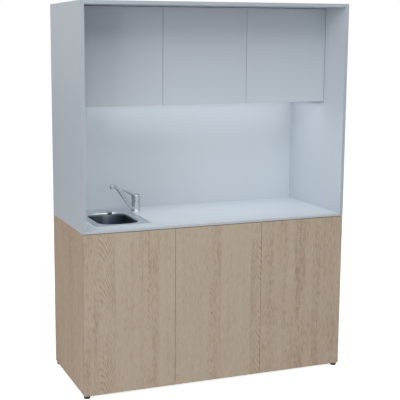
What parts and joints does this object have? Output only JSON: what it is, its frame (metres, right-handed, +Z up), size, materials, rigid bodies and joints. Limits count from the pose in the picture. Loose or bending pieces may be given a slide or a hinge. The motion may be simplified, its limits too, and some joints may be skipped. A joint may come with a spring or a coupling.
{
  "type": "kitchenette unit",
  "caption": "Free-standing kitchenette: oak-decor base cabinet with doors, inset steel sink and swivel mixer tap, grey frame with wall cupboards and a light",
  "frame": {"origin": "middle of the plan, on the floor under the feet", "axes": "+X to the right seen from the front, +Y from the doors towards the wall, +Z up"},
  "size_m": [1.5, 0.6, 2.029],
  "materials": {
    "wood_melamine": "oak decor melamine, vertical grain",
    "grey_melamine": "plain blue-grey melamine on particle board",
    "compact_laminate": "fine satin laminate",
    "sink_steel": "pressed stainless steel, satin",
    "tap_chrome": "polished chrome plate",
    "nickel_steel": "nickel-plated steel",
    "black_plastic": "moulded plastic",
    "black_rubber": "soft sealing rubber",
    "white_plastic": "moulded plastic",
    "led_aluminium": "anodised aluminium",
    "led_light": "lit LED strip",
    "led_opal": "opal diffuser",
    "grey_plastic": "moulded plastic"
  },
  "bodies": {
    "carcass": {"base_side_left": "wood_melamine", "base_side_right": "wood_melamine", "base_bottom": "grey_melamine", "base_partition_left": "grey_melamine", "base_partition_right": "grey_melamine", "base_rails": "grey_melamine", "base_back": "grey_melamine", "base_shelves": "grey_melamine", "worktop": "compact_laminate", "frame_side_left": "grey_melamine", "frame_side_right": "grey_melamine", "top_panel": "grey_melamine", "splashback": "compact_laminate", "wall_bottom": "grey_melamine", "wall_partition_left": "grey_melamine", "wall_partition_right": "grey_melamine", "wall_shelves": "grey_melamine", "shelf_pins": "nickel_steel", "led_profile": "led_aluminium", "led_strip": "led_light", "led_diffuser": "led_opal", "led_driver": "white_plastic", "feet": "black_plastic", "base_hinge_arms": "nickel_steel", "wall_hinge_arms": "nickel_steel", "latch_housings": "white_plastic", "sink": "sink_steel", "sink_seal": "black_rubber", "sink_clips": "nickel_steel", "waste_fitting": "sink_steel", "overflow_elbow": "black_plastic", "bottle_trap": "white_plastic", "tap_base_ring": "tap_chrome", "tap_body": "tap_chrome", "tap_cartridge": "white_plastic", "tap_shank": "nickel_steel"},
    "base_door_left_body": {"base_door_left": "wood_melamine", "cups_base_left": "nickel_steel"},
    "plunger_base_left_body": {"plunger_base_left": "white_plastic"},
    "base_door_middle_body": {"base_door_middle": "wood_melamine", "cups_base_middle": "nickel_steel"},
    "plunger_base_middle_body": {"plunger_base_middle": "white_plastic"},
    "base_door_right_body": {"base_door_right": "wood_melamine", "cups_base_right": "nickel_steel"},
    "plunger_base_right_body": {"plunger_base_right": "white_plastic"},
    "wall_door_left_body": {"wall_door_left": "grey_melamine", "cups_wall_left": "nickel_steel"},
    "plunger_wall_left_body": {"plunger_wall_left": "white_plastic"},
    "wall_door_middle_body": {"wall_door_middle": "grey_melamine", "cups_wall_middle": "nickel_steel"},
    "plunger_wall_middle_body": {"plunger_wall_middle": "white_plastic"},
    "wall_door_right_body": {"wall_door_right": "grey_melamine", "cups_wall_right": "nickel_steel"},
    "plunger_wall_right_body": {"plunger_wall_right": "white_plastic"},
    "strainer": {"waste_basket": "sink_steel"},
    "spout": {"tap_spout": "tap_chrome", "tap_aerator": "grey_plastic"},
    "carrier": {"tap_carrier": "nickel_steel"},
    "lever": {"tap_lever": "tap_chrome"}
  },
  "joints": [
    {"name": "base_door_left_hinge", "type": "hinge", "parent": "carcass", "child": "base_door_left_body", "pos_m": [-0.748, -0.299, 0.442], "axis": [0, 0, -1], "range_deg": [0, 105]},
    {"name": "plunger_base_left_push", "type": "slide", "parent": "carcass", "child": "plunger_base_left_body", "axis": [0, 1, 0], "range_m": [0, 0.003], "stiffness_N_per_m": 400, "springref_m": -0.002},
    {"name": "base_door_middle_hinge", "type": "hinge", "parent": "carcass", "child": "base_door_middle_body", "pos_m": [-0.248, -0.299, 0.442], "axis": [0, 0, -1], "range_deg": [0, 105]},
    {"name": "plunger_base_middle_push", "type": "slide", "parent": "carcass", "child": "plunger_base_middle_body", "axis": [0, 1, 0], "range_m": [0, 0.003], "stiffness_N_per_m": 400, "springref_m": -0.002},
    {"name": "base_door_right_hinge", "type": "hinge", "parent": "carcass", "child": "base_door_right_body", "pos_m": [0.748, -0.299, 0.442], "axis": [0, 0, 1], "range_deg": [0, 105]},
    {"name": "plunger_base_right_push", "type": "slide", "parent": "carcass", "child": "plunger_base_right_body", "axis": [0, 1, 0], "range_m": [0, 0.003], "stiffness_N_per_m": 400, "springref_m": -0.002},
    {"name": "wall_door_left_hinge", "type": "hinge", "parent": "carcass", "child": "wall_door_left_body", "pos_m": [-0.729, -0.092, 1.7515], "axis": [0, 0, -1], "range_deg": [0, 90]},
    {"name": "plunger_wall_left_push", "type": "slide", "parent": "carcass", "child": "plunger_wall_left_body", "axis": [0, 1, 0], "range_m": [0, 0.003], "stiffness_N_per_m": 400, "springref_m": -0.002},
    {"name": "wall_door_middle_hinge", "type": "hinge", "parent": "carcass", "child": "wall_door_middle_body", "pos_m": [-0.242, -0.092, 1.7515], "axis": [0, 0, -1], "range_deg": [0, 100]},
    {"name": "plunger_wall_middle_push", "type": "slide", "parent": "carcass", "child": "plunger_wall_middle_body", "axis": [0, 1, 0], "range_m": [0, 0.003], "stiffness_N_per_m": 400, "springref_m": -0.002},
    {"name": "wall_door_right_hinge", "type": "hinge", "parent": "carcass", "child": "wall_door_right_body", "pos_m": [0.729, -0.092, 1.7515], "axis": [0, 0, 1], "range_deg": [0, 90]},
    {"name": "plunger_wall_right_push", "type": "slide", "parent": "carcass", "child": "plunger_wall_right_body", "axis": [0, 1, 0], "range_m": [0, 0.003], "stiffness_N_per_m": 400, "springref_m": -0.002},
    {"name": "strainer_lift", "type": "slide", "parent": "carcass", "child": "strainer", "axis": [0, 0, 1], "range_m": [0, 0.2]},
    {"name": "spout_swivel", "type": "hinge", "parent": "carcass", "child": "spout", "pos_m": [-0.302, 0.182, 0.901], "axis": [0, 0, 1], "range_deg": [-48, 160]},
    {"name": "lever_turn", "type": "hinge", "parent": "carcass", "child": "carrier", "pos_m": [-0.302, 0.182, 0.944], "axis": [0, 0, 1], "range_deg": [-50, 50]},
    {"name": "lever_lift", "type": "hinge", "parent": "carrier", "child": "lever", "pos_m": [-0.302, 0.182, 0.944], "axis": [-0.4848, 0.8746, 0], "range_deg": [0, 20]}
  ]
}
